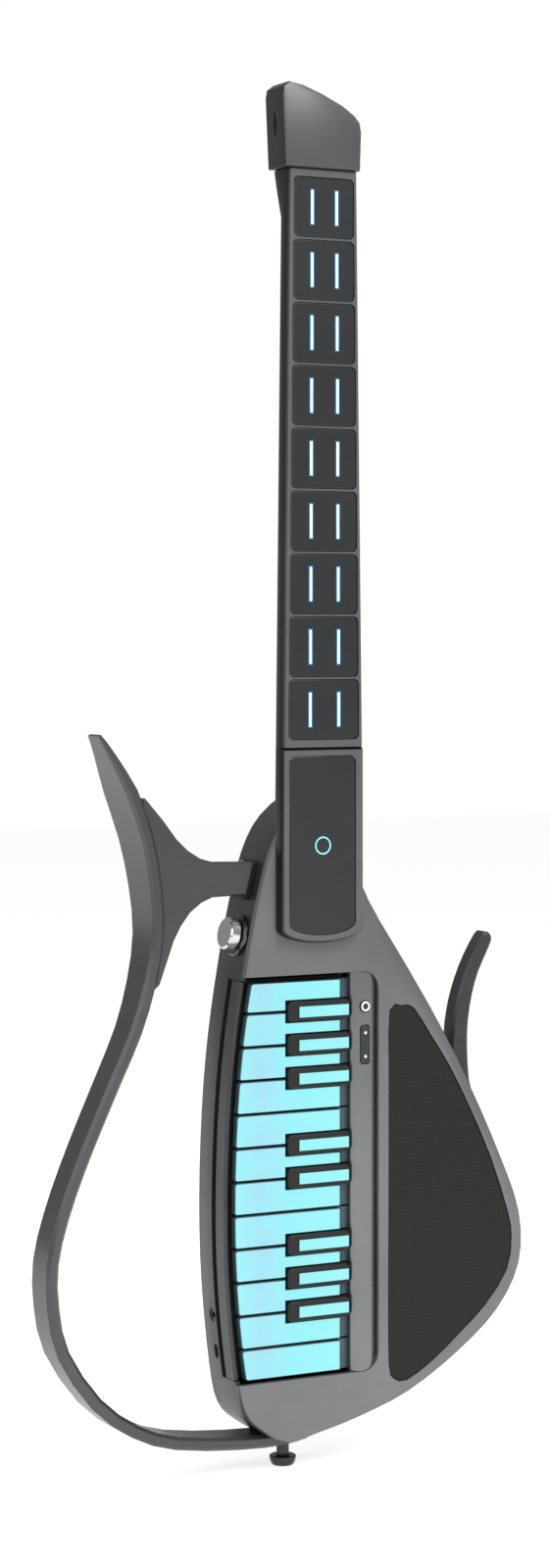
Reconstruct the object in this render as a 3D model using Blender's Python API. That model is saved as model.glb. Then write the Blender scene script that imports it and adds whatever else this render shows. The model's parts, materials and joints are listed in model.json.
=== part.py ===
"""Stringless smart guitar: a moulded body with a keyboard, a neck of touch pads and a side ribbon.

Millimetres in the sizes below, metres in the scene. +Z runs up the neck, +Y goes to the back.
The origin is the middle of the strap button's flat end face.
"""
import math

import bmesh
import bpy
from mathutils import Matrix, Vector

MM = 0.001
GAP = 0.3

# Body, seen from the front as knots of a smooth closed line (X, Z)
BODY_FRONT = -21.0
BODY_BACK = 21.0
WALL = 3.0
BEVEL = 3.2
SEAM = -17.1
BASE_FLOOR = 33.0
BODY_KNOTS = [(16.4, 426), (-6.8, 410.5), (-20.1, 388), (-29.8, 353.3), (-37.2, 316.3), (-44.1, 272),
              (-48.4, 225), (-50.2, 168.2), (-48.6, 116), (-43, 63), (-37.5, 40), (-26.6, 28.3),
              (-6.9, 17.6), (13.7, 21), (45, 28.3), (81, 40.5), (118.4, 62.4), (148, 87), (164.7, 116),
              (164.6, 150), (149.5, 188.9), (128, 233), (104.4, 275.5), (79.7, 314.5), (52, 357),
              (36, 394), (28.5, 417)]

# Key well and its parts
WELL_TOP = 311.5
WELL_BOTTOM = 57.5
WELL_RIGHT = 58.0
WELL_CORNER = 11.0
KEY_COUNT = 12
KEY_PITCH = 20.94
KEYS_TOP = 307.2
KEYS_BOTTOM = 59.6
FIRST_BOUNDARY = 288.4
KEY_SLIT = 1.3
KEY_FRONT = -18.0
KEY_THICK = 4.6
KEY_INSIDE_WALL = 6.8
WHITE_END = 31.8
BLACK_BOUNDARIES = (1, 2, 3, 5, 6, 8, 9, 10)
BLACK_LEFT = -6.8
BLACK_END = 37.4
BLACK_HEIGHT = 12.6
BLACK_RAISE = 3.0
KEY_CLEAR = 0.5
PIVOT_X = 43.4
PIVOT_Y = -10.6
ROD_RADIUS = 1.5
ROD_CLEAR = 0.4
BOSS_RADIUS = 3.4
BED_FRONT = -9.6
BED_THICK = 3.0
TROUGH_FRONT = -6.7
SLIP_FRONT = -16.0
SLIP_BACK = -3.5
NOTCH_BACK = 0.5

# Control strip
STRIP_LEFT = 39.0
STRIP_BACK = -14.4
STRIP_EDGE = -16.0
STRIP_CREST = -20.3
BUTTON_Z = 289.2
BUTTON_RADIUS = 3.6
ROCKER_Z = 264.9
ROCKER_WIDTH = 6.4
ROCKER_HEIGHT = 24.4

# Speaker grille outline (X, Z)
GRILLE_KNOTS = [(66, 286), (75, 288.5), (84, 286.6), (97.1, 268), (111.7, 246.3), (128, 216), (142.4, 185.3),
                (154.8, 150.6), (157.8, 133), (154, 112), (137.7, 90.9), (117, 73.5), (98, 59), (79, 48.5),
                (69, 50.5), (65.4, 60), (65, 100), (65.2, 150), (65.4, 200), (65.4, 250)]

# Neck and head
NECK_X = 13.4
NECK_FRONT = -30.0
NUT_Z = 817.0
HEEL_Z = 454.4
NUT_HALF = 23.2
HEEL_HALF = 27.4
SIDE_SWELL = 2.1
SIDE_DEPTH = 6.5
NECK_DEPTH = 20.0
HEAD_DEPTH = 25.0
FLARE_START = 787.0
FRAME_THICK = 3.0
HEEL_THICK = 9.0
PAD_TOP = 812.9
PAD_PITCH = 39.36
PAD_COUNT = 9
PAD_SEAM = 2.0
PAD_RIM = 2.3
PAD_CORNER = 3.5
PAD_TRAVEL = 0.8
HEAD_FRONT = -33.0
HEAD_BACK = -8.0
HEAD_KNOTS = [(-15.4, 817.3), (-17.5, 862), (-16.6, 867.2), (-12.2, 870.6), (-2.2, 869), (11.7, 864.2),
              (25.8, 857.9), (34.3, 852.4), (38.2, 848), (39.3, 842), (38.5, 817.3)]

# Side ribbon: outer line (X, Z), thickness and depth along it
RIBBON_KNOTS = [(-134.8, 463.2), (-126.3, 448.5), (-115, 426.6), (-104.3, 397.5), (-99, 368.3), (-97.6, 339.3),
                (-103, 310.7), (-112.3, 282.3), (-125.6, 254.3), (-138.8, 226.5), (-151.2, 198.8),
                (-161.7, 171), (-168.6, 143.1), (-168.1, 114.6), (-161, 85.4), (-138.4, 52.5), (-111, 31.7),
                (-81.5, 20.8), (-37.2, 15.6), (-5.9, 15.0), (11.3, 17.6)]
RIBBON_DEPTHS = [16, 25, 36, 37, 34, 31, 28, 25.5, 24, 23.5, 23, 23, 23.5, 24, 24, 24, 24, 24, 24, 24, 24]
RIBBON_THICK = 8.2
RIBBON_FRONT = -14.0
RIBBON_CHAMFER = 2.0
WEB_FRONT = -11.0
WEB_BACK = -4.0
WEB_KNOTS = [(-104.5, 424.5), (-101.5, 424.5), (-89.2, 410.6), (-79.8, 398.5), (-72.2, 391.4), (-63.6, 386.1),
             (-54.9, 383.6), (-26, 382.8), (-26, 362.5), (-54.9, 361.7), (-62.6, 358.6), (-70.3, 352.9),
             (-76.9, 344.6), (-81.7, 335.7), (-87, 321.4), (-91.5, 309), (-97, 304), (-99, 320), (-94, 345),
             (-95.5, 370), (-99, 392)]
HORN_KNOTS = [(149.2, 330.9), (152.4, 326.9), (150.2, 320.5), (142.5, 305.5), (137.7, 291.1), (134.5, 273.4),
              (133.9, 255.5), (135.3, 235), (138, 222), (126, 222), (119.5, 240), (121.3, 256.9),
              (122.5, 272.1), (125.3, 286.6), (130, 301), (136.7, 315.4), (145.3, 329.1)]

# Places along the left wall (Z) and depth (Y)
KNOB_Z = 336.5
KNOB_Y = -3.9
KNOB_RADIUS = 10.0
COLLAR_RADIUS = 13.2
BRACKET_Z = 371.0
JACK_Z = 98.0
JACK_Y = 5.0
PORT_Z = 75.0


def clear_scene():
    for item in list(bpy.data.objects):
        bpy.data.objects.remove(item, do_unlink=True)


def look(name, colour, roughness, metallic):
    made = bpy.data.materials.new(name)
    made.use_nodes = True
    shader = made.node_tree.nodes["Principled BSDF"]
    shader.inputs["Base Color"].default_value = (*colour, 1.0)
    shader.inputs["Roughness"].default_value = roughness
    shader.inputs["Metallic"].default_value = metallic
    return made


def catmull(a, b, c, d, t):
    return tuple(0.5 * (2 * q + (r - p) * t + (2 * p - 5 * q + 4 * r - s) * t * t + (3 * q - p - 3 * r + s) * t ** 3)
                 for p, q, r, s in zip(a, b, c, d))


def smooth_loop(knots, steps):
    n = len(knots)
    return [catmull(knots[i - 1], knots[i], knots[(i + 1) % n], knots[(i + 2) % n], k / steps)
            for i in range(n) for k in range(steps)]


def smooth_path(knots, steps):
    ends = [knots[0]] + list(knots) + [knots[-1]]
    path = [catmull(*ends[i:i + 4], k / steps) for i in range(len(knots) - 1) for k in range(steps)]
    return path + [tuple(knots[-1])]


def area(loop):
    return 0.5 * sum(a[0] * b[1] - b[0] * a[1] for a, b in zip(loop, loop[1:] + loop[:1]))


def inset(loop, distance):
    """Moves each corner of a closed loop inwards by the distance, along its mitre."""
    turn = 1.0 if area(loop) > 0 else -1.0
    moved = []
    for i, point in enumerate(loop):
        before = Vector(point) - Vector(loop[i - 1])
        after = Vector(loop[(i + 1) % len(loop)]) - Vector(point)
        first = Vector((-before.y, before.x)).normalized() * turn
        second = Vector((-after.y, after.x)).normalized() * turn
        mitre = (first + second) / max(1.0 + first.dot(second), 0.4)
        moved.append((point[0] + mitre.x * distance, point[1] + mitre.y * distance))
    return moved


def rounded_box(x0, z0, x1, z1, radius, steps=4):
    corners = [(x1 - radius, z1 - radius, 0), (x0 + radius, z1 - radius, 90),
               (x0 + radius, z0 + radius, 180), (x1 - radius, z0 + radius, 270)]
    return [(x + radius * math.cos(math.radians(start + 90 * k / steps)),
             z + radius * math.sin(math.radians(start + 90 * k / steps)))
            for x, z, start in corners for k in range(steps + 1)]


def circle(radius, count=32, centre=(0.0, 0.0)):
    return [(centre[0] + radius * math.cos(2 * math.pi * k / count),
             centre[1] + radius * math.sin(2 * math.pi * k / count)) for k in range(count)]


def loft(rings):
    """One closed body through rings of equal count, capped at both ends."""
    mesh = bmesh.new()
    rows = [[mesh.verts.new(p) for p in ring] for ring in rings]
    count = len(rows[0])
    for low, high in zip(rows, rows[1:]):
        for i in range(count):
            mesh.faces.new((low[i], low[(i + 1) % count], high[(i + 1) % count], high[i]))
    mesh.faces.new(rows[0])
    mesh.faces.new(rows[-1])
    bmesh.ops.recalc_face_normals(mesh, faces=mesh.faces)
    return mesh


def slab(loop, levels):
    """A loop in XZ carried along Y: each level is a depth and an inset."""
    return loft([[(x, y, z) for x, z in (inset(loop, d) if d else loop)] for y, d in levels])


def bar(profile, z0, z1):
    """A profile in XY carried along Z."""
    return loft([[(x, y, z) for x, y in profile] for z in (z0, z1)])


def block(x0, x1, y0, y1, z0, z1):
    return bar([(x0, y0), (x1, y0), (x1, y1), (x0, y1)], z0, z1)


def turned(profile, count=40):
    """Rings about Z from (radius, height) pairs."""
    return loft([[(x, y, h) for x, y in circle(r, count)] for r, h in profile])


def placed(mesh, matrix):
    mesh.transform(matrix)
    return mesh


def node(name, mesh, made, origin=(0, 0, 0), sharp=30):
    data = bpy.data.meshes.new(name)
    mesh.transform(Matrix.Translation(-Vector(origin)))
    mesh.transform(Matrix.Scale(MM, 4))
    mesh.to_mesh(data)
    mesh.free()
    data.shade_smooth()
    data.set_sharp_from_angle(angle=math.radians(sharp))
    if made:
        data.materials.append(made)
    item = bpy.data.objects.new(name, data)
    item.location = Vector(origin) * MM
    bpy.context.scene.collection.objects.link(item)
    return item


def combine(item, mesh, operation):
    guide = node(f"{item.name}_guide", mesh, None)
    guide.hide_render = True
    guide.display_type = "WIRE"
    step = item.modifiers.new(operation.lower(), "BOOLEAN")
    step.operation = operation
    step.solver = "EXACT"
    step.object = guide
    return item


def cut(item, mesh):
    return combine(item, mesh, "DIFFERENCE")


def join(item, mesh):
    return combine(item, mesh, "UNION")


BODY_LINE = smooth_loop(BODY_KNOTS, 3)


def wall_x(z, depth=0.0):
    """X of the body's left wall at a height, moved inwards by a depth."""
    line = inset(BODY_LINE, depth) if depth else BODY_LINE
    found = []
    for a, b in zip(line, line[1:] + line[:1]):
        if min(a[1], b[1]) <= z < max(a[1], b[1]):
            found.append(a[0] + (b[0] - a[0]) * (z - a[1]) / (b[1] - a[1]))
    return min(found)


def wall_frame(z, y):
    """Matrix at a place on the left wall: its Z axis points out of the wall, its Y axis to the back."""
    step = 6.0
    along = Vector((wall_x(z + step) - wall_x(z - step), 0, 2 * step)).normalized()
    back = Vector((0, 1, 0))
    out = back.cross(along).normalized()
    if out.x > 0:
        out.negate()
    side = back.cross(out)
    turn = Matrix((side, back, out)).transposed().to_4x4()
    return Matrix.Translation((wall_x(z), y, z)) @ turn


def side_band(z0, z1, outer, inner, steps=20):
    heights = [z0 + (z1 - z0) * k / steps for k in range(steps + 1)]
    return ([(wall_x(z, outer), z) for z in heights] + [(wall_x(z, inner), z) for z in reversed(heights)])


def rear_shell(made):
    def inner(distance):
        return [(x, max(z, BASE_FLOOR)) for x, z in inset(BODY_LINE, distance)]

    rings = [(BODY_BACK - WALL, inner(WALL + 1.5)), (BODY_BACK - WALL - 1.5, inner(WALL)),
             (SEAM + GAP, inner(WALL)), (SEAM + GAP, BODY_LINE), (BODY_BACK - BEVEL, BODY_LINE),
             (BODY_BACK - 1.0, inset(BODY_LINE, 1.0)), (BODY_BACK, inset(BODY_LINE, BEVEL))]
    shell = node("body_rear_shell", loft([[(x, y, z) for x, z in loop] for y, loop in rings]), made)
    notch = side_band(WELL_BOTTOM + 2.2, KEYS_TOP + 2.0, -6.0, WALL + 6.0)
    cut(shell, slab(notch, [(SEAM - 4, 0), (NOTCH_BACK, 0)]))
    cut(shell, ribbon_mesh(GAP))
    cut(shell, bar(circle(2.5, 20), -2, 31))
    cut(shell, placed(turned([(3.9, -9), (3.9, 5)], 24), wall_frame(KNOB_Z, KNOB_Y)))
    cut(shell, placed(turned([(4.3, -9), (4.3, 5)], 24), wall_frame(JACK_Z, JACK_Y)))
    cut(shell, placed(slot_mesh(4.4, 2.2, 0.3, -9, 5), wall_frame(PORT_Z, JACK_Y)))
    for shift in (-9.0, 9.0):
        place = wall_frame(BRACKET_Z, 2.0) @ Matrix.Translation((shift, 0, 0))
        cut(shell, placed(turned([(1.6, -9), (1.6, 5)], 16), place))
    return shell


def slot_mesh(half_length, half_width, grow, low, high):
    """A stadium-ended bar along the local Z axis, long way up the wall."""
    loop = rounded_box(-half_length - grow, -half_width - grow, half_length + grow, half_width + grow,
                       half_width + grow - 0.01, 5)
    return loft([[(x, y, h) for x, y in loop] for h in (low, high)])


def well_loop(shrink=0.0):
    top, bottom, right = WELL_TOP - shrink, WELL_BOTTOM + shrink, WELL_RIGHT - shrink
    return rounded_box(-90, bottom, right, top, WELL_CORNER - shrink, 5)


def front_panel(made):
    levels = [(SEAM, 0), (BODY_FRONT + BEVEL, 0), (BODY_FRONT + 0.9, BEVEL - 2.2), (BODY_FRONT, BEVEL)]
    panel = node("body_front_panel", slab(BODY_LINE, levels), made)
    cut(panel, slab(well_loop(), [(BODY_FRONT - 3, 0), (SEAM + 3, 0)]))
    cut(panel, slab(GRILLE_LINE, [(BODY_FRONT - 3, 0), (SEAM + 3, 0)]))
    return panel


GRILLE_LINE = smooth_loop(GRILLE_KNOTS, 2)


def grille(made):
    return node("speaker_grille", slab(GRILLE_LINE, [(-18.4, GAP), (BODY_FRONT + 0.9, GAP), (BODY_FRONT + 0.4, 0.8)]),
                made)


def drivers(made):
    for name, place, radius in (("speaker_driver", (107.0, 118.0), 33.0), ("tweeter_driver", (93.0, 205.0), 17.0)):
        turn = Matrix.Translation((place[0], 0, place[1])) @ Matrix.Rotation(-math.pi / 2, 4, "X")
        profile = [(radius, -18.1), (radius, -15.6), (radius * 0.88, -15.6), (radius * 0.5, 0.0),
                   (radius * 0.62, 0.0), (radius * 0.62, 11.0)]
        node(name, placed(turned(profile, 32), turn), made)


def inner_pieces(cell_look, board_look):
    node("battery_pack", slab(rounded_box(-32, 110, 34, 224, 5), [(4, 1), (5, 0), (17.7, 0)]), cell_look)
    board = node("main_board", block(-16, 46, 11.4, 13, 236, 280), board_look)
    for x, z in ((-11, 241), (41, 241), (-11, 275), (41, 275)):
        join(board, block(x - 2, x + 2, 12.2, 17.7, z - 2, z + 2))
    for x, z, w in ((0, 256, 9), (25, 262, 6)):
        join(board, block(x - w, x + w, 9.6, 11.9, z - w, z + w))


def key_bed(made):
    low, high = WELL_BOTTOM - 0.7, KEYS_TOP + 3.6
    heights = [low + 3.2 + (high - 5.2 - low) * k / 20 for k in range(21)]
    left = [(wall_x(z, WALL + GAP), z) for z in heights]
    loop = left + [(36.3, heights[-1]), (36.3, heights[0])]
    bed = node("key_bed", slab(loop, [(BED_FRONT, 0), (BED_FRONT + BED_THICK, 0)]), made)
    trough = [(35, BED_FRONT), (38.6, BED_FRONT), (38.6, TROUGH_FRONT), (57.7, TROUGH_FRONT),
              (57.7, TROUGH_FRONT + BED_THICK), (35, TROUGH_FRONT + BED_THICK)]
    join(bed, bar(trough, low, high))
    for z in (low, high - 3.0):
        join(bed, block(40.0, 46.8, STRIP_BACK + GAP, TROUGH_FRONT + 1.0, z + 0.01, z + 2.2))
    for x, z in ((-22, 88), (-14, 292), (50, 80), (50, 294)):
        join(bed, slab(circle(4, 16, (x, z)), [(BED_FRONT + 1.5 if x < 36 else TROUGH_FRONT + 1, 0), (17.7, 0)]))
    cut(bed, bar(circle(ROD_RADIUS + GAP, 16, (PIVOT_X, PIVOT_Y)), low - 5, high + 5))
    return bed


def pivot_rod(made):
    node("key_pivot_rod", bar(circle(ROD_RADIUS, 16, (PIVOT_X, PIVOT_Y)), WELL_BOTTOM - 0.5, KEYS_TOP + 3.4), made)


def key_tail(x0, z0, z1):
    """Arm under the strip with its round boss on the rod."""
    arc = [(PIVOT_X + BOSS_RADIUS * math.sin(math.radians(a)), PIVOT_Y - BOSS_RADIUS * math.cos(math.radians(a)))
           for a in range(0, 271, 30)]
    top = PIVOT_Y - BOSS_RADIUS
    return bar([(x0, top)] + arc + [(PIVOT_X - BOSS_RADIUS, top + 3.0), (x0, top + 3.0)], z0, z1)


def boundary_z(index):
    """Height of the line between two white keys, counted from the top."""
    if index == 0:
        return KEYS_TOP + KEY_SLIT / 2
    if index == KEY_COUNT:
        return KEYS_BOTTOM - KEY_SLIT / 2
    return FIRST_BOUNDARY - KEY_PITCH * (index - 1)


def key_edges(index):
    """Bottom and top of a white key, and of its free middle between the black keys."""
    top, bottom = boundary_z(index), boundary_z(index + 1)
    half = BLACK_HEIGHT / 2 + KEY_CLEAR
    inner_top = top - half if index in BLACK_BOUNDARIES else top - KEY_SLIT / 2
    inner_bottom = bottom + half if index + 1 in BLACK_BOUNDARIES else bottom + KEY_SLIT / 2
    return bottom + KEY_SLIT / 2, top - KEY_SLIT / 2, inner_bottom, inner_top


def white_key(index, made):
    z0, z1, inner0, inner1 = key_edges(index)
    left0, left1 = wall_x(z0, KEY_INSIDE_WALL), wall_x(z1, KEY_INSIDE_WALL)
    notch = BLACK_LEFT - KEY_CLEAR
    loop = [(left0 + 1.2, z0), (notch, z0), (notch, inner0), (WHITE_END, inner0), (WHITE_END, inner1),
            (notch, inner1), (notch, z1), (left1 + 1.2, z1), (left1, z1 - 1.2), (left0, z0 + 1.2)]
    if inner0 == z0:
        loop[1:3] = [(notch, z0)]
    if inner1 == z1:
        spot = loop.index((notch, inner1))
        loop[spot:spot + 2] = [(notch, z1)]
    back = KEY_FRONT + KEY_THICK
    key = node(f"white_key_{index + 1}", slab(loop, [(back, 0), (KEY_FRONT + 0.5, 0), (KEY_FRONT, 0.5)]), made,
               (PIVOT_X, PIVOT_Y, (z0 + z1) / 2))
    join(key, key_tail(24.0, inner0 + 0.02, inner1 - 0.02))
    cut(key, bar(circle(ROD_RADIUS + ROD_CLEAR, 14, (PIVOT_X, PIVOT_Y)), z0 - 3, z1 + 3))


def black_key(number, boundary, made):
    z = boundary_z(boundary)
    half = BLACK_HEIGHT / 2
    loop = rounded_box(BLACK_LEFT, z - half, BLACK_END, z + half, 3.0, 4)
    front = KEY_FRONT - BLACK_RAISE
    key = node(f"black_key_{number}", slab(loop, [(KEY_FRONT + KEY_THICK, 0), (front + 0.8, 0), (front, 0.8)]),
               made, (PIVOT_X, PIVOT_Y, z))
    join(key, key_tail(24.0, z - half + 0.4, z + half - 0.4))
    cut(key, bar(circle(ROD_RADIUS + ROD_CLEAR, 14, (PIVOT_X, PIVOT_Y)), z - 12, z + 12))


def key_slip(made):
    loop = side_band(WELL_BOTTOM + 2.5, KEYS_TOP + 1.7, 0.15, WALL)
    levels = [(SLIP_FRONT, 0.7), (SLIP_FRONT + 0.7, 0), (SLIP_BACK - 1.2, 0), (SLIP_BACK, 0.9)]
    node("key_slip", slab(loop, levels), made)


def control_strip(made):
    middle = (STRIP_LEFT + WELL_RIGHT) / 2
    half = (WELL_RIGHT - STRIP_LEFT) / 2
    crown = [(middle + half * math.cos(math.radians(a)), STRIP_EDGE - (STRIP_EDGE - STRIP_CREST)
              * math.sin(math.radians(a))) for a in range(0, 181, 15)]
    profile = crown + [(STRIP_LEFT, STRIP_BACK), (49.8, STRIP_BACK), (49.8, TROUGH_FRONT - GAP),
                       (WELL_RIGHT, TROUGH_FRONT - GAP)]
    strip = node("control_strip", bar(profile, WELL_BOTTOM - 2, WELL_TOP + 2), made)
    combine(strip, slab(well_loop(GAP), [(BODY_FRONT - 3, 0), (0, 0)]), "INTERSECT")
    cut(strip, slab(circle(BUTTON_RADIUS + 0.4, 24, (middle, BUTTON_Z)), [(BODY_FRONT - 4, 0), (-16.2, 0)]))
    w, h = ROCKER_WIDTH / 2 + 0.4, ROCKER_HEIGHT / 2 + 0.4
    cut(strip, slab(rounded_box(middle - w, ROCKER_Z - h, middle + w, ROCKER_Z + h, 2.2),
                    [(BODY_FRONT - 4, 0), (-16.2, 0)]))
    return middle


def strip_controls(middle, made):
    node("power_button", slab(circle(BUTTON_RADIUS, 24, (middle, BUTTON_Z)), [(-17.2, 0), (-20.5, 0), (-21, 0.6)]),
         made, (middle, -17.2, BUTTON_Z))
    w, h = ROCKER_WIDTH / 2, ROCKER_HEIGHT / 2
    node("volume_rocker", slab(rounded_box(middle - w, ROCKER_Z - h, middle + w, ROCKER_Z + h, 2.0),
                               [(-17.2, 0), (-20.3, 0), (-20.9, 0.7)]), made, (middle, -17.2, ROCKER_Z))


def wall_pieces(chrome, dark, steel):
    knob_place = wall_frame(KNOB_Z, KNOB_Y)
    collar = node("knob_collar", placed(turned([(12.6, 0.5), (COLLAR_RADIUS, 1.1), (COLLAR_RADIUS, 2.2), (12.4, 2.9)],
                                               40), knob_place), chrome)
    cut(collar, placed(turned([(3.9, -3), (3.9, 9)], 24), knob_place))
    profile = [(3.5, -6), (3.5, 3.2), (KNOB_RADIUS - 0.6, 3.2), (KNOB_RADIUS, 3.8), (KNOB_RADIUS, 9.4),
               (KNOB_RADIUS - 1, 10.4)]
    node("tone_knob", placed(turned(profile, 40), knob_place), chrome, tuple(knob_place.translation))
    jack = node("headphone_jack", placed(turned([(4.0, -14), (4.0, -0.6)], 24), wall_frame(JACK_Z, JACK_Y)), steel)
    cut(jack, placed(turned([(2.1, -12), (2.1, 3)], 16), wall_frame(JACK_Z, JACK_Y)))
    port = node("charge_port", placed(slot_mesh(4.4, 2.2, 0, -9, -0.6), wall_frame(PORT_Z, JACK_Y)), steel)
    cut(port, placed(slot_mesh(3.4, 1.2, 0, -7, 3), wall_frame(PORT_Z, JACK_Y)))
    bracket = node("wing_bracket", placed(loft([[(x, y, h) for x, y in rounded_box(-12.5, -7.5, 12.5, 8.5, 2)]
                                                for h in (0.45, 4.3)]), wall_frame(BRACKET_Z, -2.0)), dark)
    for number, shift in enumerate((-9.0, 9.0), 1):
        place = wall_frame(BRACKET_Z, 2.0) @ Matrix.Translation((shift, 0, 0))
        cut(bracket, placed(turned([(1.6, -3), (1.6, 9)], 16), place))
        node(f"bracket_screw_{number}", placed(turned([(1.3, -5), (1.3, 4.6), (2.5, 4.6), (2.5, 5.6), (1.9, 6.2)],
                                                      16), place), steel)


def ribbon_mesh(grow=0.0):
    """The ribbon's band: a chamfered section carried along its outer line."""
    path = smooth_path(RIBBON_KNOTS, 2)
    depths = smooth_path([(d,) for d in RIBBON_DEPTHS], 2)
    rings = []
    for i, point in enumerate(path):
        ahead, behind = path[min(i + 1, len(path) - 1)], path[max(i - 1, 0)]
        along = Vector((ahead[0] - behind[0], ahead[1] - behind[1])).normalized()
        inward = Vector((-along.y, along.x))
        taper = min(1.0, 0.25 + 0.75 * i / 4)
        thick = RIBBON_THICK * taper + 2 * grow
        chamfer = min(RIBBON_CHAMFER, thick * 0.3)
        front, back = RIBBON_FRONT - grow, RIBBON_FRONT + depths[i][0] + grow
        section = [(0, front + chamfer), (chamfer, front), (thick - chamfer, front), (thick, front + chamfer),
                   (thick, back - 1), (thick - 1, back), (1, back), (0, back - 1)]
        if thick < 3:
            section[4:] = [(thick, back - 0.4), (thick - 0.4, back), (0.4, back), (0, back - 0.4)]
        base = Vector(point) - inward * grow
        rings.append([(base.x + inward.x * s, y, base.y + inward.y * s) for s, y in section])
    if grow:
        tail = Vector((path[-1][0] - path[-2][0], path[-1][1] - path[-2][1])).normalized() * grow
        rings[-1] = [(x + tail.x, y, z + tail.y) for x, y, z in rings[-1]]
    return loft(rings)


def side_wing(made):
    wing = node("side_wing", ribbon_mesh(), made)
    join(wing, slab(WEB_KNOTS, [(WEB_FRONT, 1.0), (WEB_FRONT + 1, 0), (WEB_BACK - 1, 0), (WEB_BACK, 1.0)]))
    keep = loft([[(x, y, h) for x, y in rounded_box(-40, -30, 40, 30, 2)] for h in (-30, 4.6)])
    cut(wing, placed(keep, wall_frame(BRACKET_Z, -2.0)))
    cut(wing, bar(circle(2.5, 20), -2, 31))


def right_horn(made):
    horn = node("right_horn", slab(smooth_loop(HORN_KNOTS, 2), [(-6, 1.4), (-4.6, 0), (5.4, 0), (6.6, 1.2)]), made)
    cut(horn, slab(inset(BODY_LINE, -GAP), [(BODY_FRONT - 5, 0), (BODY_BACK + 5, 0)]))


def strap_button(made):
    profile = [(6.7, 0), (7.6, 1.2), (8.5, 4.2), (8.5, 5.4), (7.6, 5.9), (5.0, 5.4), (4.0, 6.6), (4.0, 14.4),
               (2.2, 14.4), (2.2, 30)]
    node("strap_button", turned(profile, 32), made)


def neck_half(z):
    share = (NUT_Z - z) / (NUT_Z - HEEL_Z)
    return NUT_HALF + (HEEL_HALF - NUT_HALF) * share


def neck_section(z):
    half = neck_half(z)
    wide = half + SIDE_SWELL
    flare = max(0.0, (z - FLARE_START) / (NUT_Z - FLARE_START))
    side = SIDE_DEPTH + (NECK_DEPTH - SIDE_DEPTH - 4) * flare ** 1.5
    depth = NECK_DEPTH + (HEAD_DEPTH - 3 - NECK_DEPTH) * flare
    power = 2.0 / (2.3 + 3.0 * flare)
    back = []
    for k in range(0, 13):
        angle = math.pi * k / 12
        c, s = math.cos(angle), math.sin(angle)
        back.append((wide * math.copysign(abs(c) ** power, c), side + (depth - side) * s ** power))
    points = [(half, 0.0)] + [(wide, SIDE_DEPTH * 0.8)] + back + [(-wide, SIDE_DEPTH * 0.8)] + [(-half, 0.0)]
    return [(NECK_X + x, NECK_FRONT + y, z) for x, y in points]


def neck_shell(made):
    heights = [404, 430, 480, 560, 640, 720, FLARE_START, 795, 803, 810, NUT_Z - GAP]
    shell = node("neck_shell", loft([neck_section(z) for z in heights]), made)
    cut(shell, block(-60, 90, NECK_FRONT - 9, NECK_FRONT + HEEL_THICK, 390, HEEL_Z))
    cut(shell, block(-60, 90, NECK_FRONT - 9, NECK_FRONT + FRAME_THICK + GAP, HEEL_Z - 5, NUT_Z + 5))
    cut(shell, block(NECK_X - 20, NECK_X + 20, NECK_FRONT - 1, NECK_FRONT + 5.8, 461.5, 805.5))
    cut(shell, block(NECK_X - 14, NECK_X + 14, NECK_FRONT - 1, NECK_FRONT + 13, 466, 801))
    cut(shell, slab(inset(BODY_LINE, -GAP), [(BODY_FRONT - GAP, 0), (BODY_BACK + 5, 0)]))


def neck_board(made):
    node("neck_board", block(NECK_X - 19.5, NECK_X + 19.5, NECK_FRONT + 3.9, NECK_FRONT + 5.5, 462, 805), made)


def front_strip(z0, z1, thick):
    """Tapered block with the neck's leaning sides, from the front plane to a depth."""
    lean = SIDE_SWELL / (SIDE_DEPTH * 0.8)
    rings = []
    for y in (0.0, 0.6, thick):
        ring = []
        for sign, z in ((-1, z0), (1, z0), (1, z1), (-1, z1)):
            grow = min(y * lean, SIDE_SWELL) - (0.5 if y == 0.0 else 0.0)
            ring.append((NECK_X + sign * (neck_half(z) + grow), NECK_FRONT + y, z))
        rings.append(ring)
    return loft(rings)


def pad_loop(index, grow=0.0):
    top = PAD_TOP - PAD_SEAM / 2 - PAD_PITCH * index
    bottom = top - PAD_PITCH + PAD_SEAM
    half = neck_half((top + bottom) / 2) - PAD_RIM
    return rounded_box(NECK_X - half - grow, bottom - grow, NECK_X + half + grow, top + grow, PAD_CORNER, 4)


def fretboard(frame_look, pad_look):
    frame = node("fretboard_frame", front_strip(HEEL_Z + GAP, NUT_Z - GAP, FRAME_THICK), frame_look)
    for index in range(PAD_COUNT):
        cut(frame, slab(pad_loop(index, 0.35), [(NECK_FRONT - 3, 0), (NECK_FRONT + 6, 0)]))
        loop = pad_loop(index)
        back = NECK_FRONT + FRAME_THICK - PAD_TRAVEL
        middle = (NECK_X, back, (loop[0][1] + loop[-1][1]) / 2)
        node(f"fret_pad_{index + 1}", slab(loop, [(back, 0), (NECK_FRONT + 0.3, 0), (NECK_FRONT - 0.2, 0.6)]),
             pad_look, middle)


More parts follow.
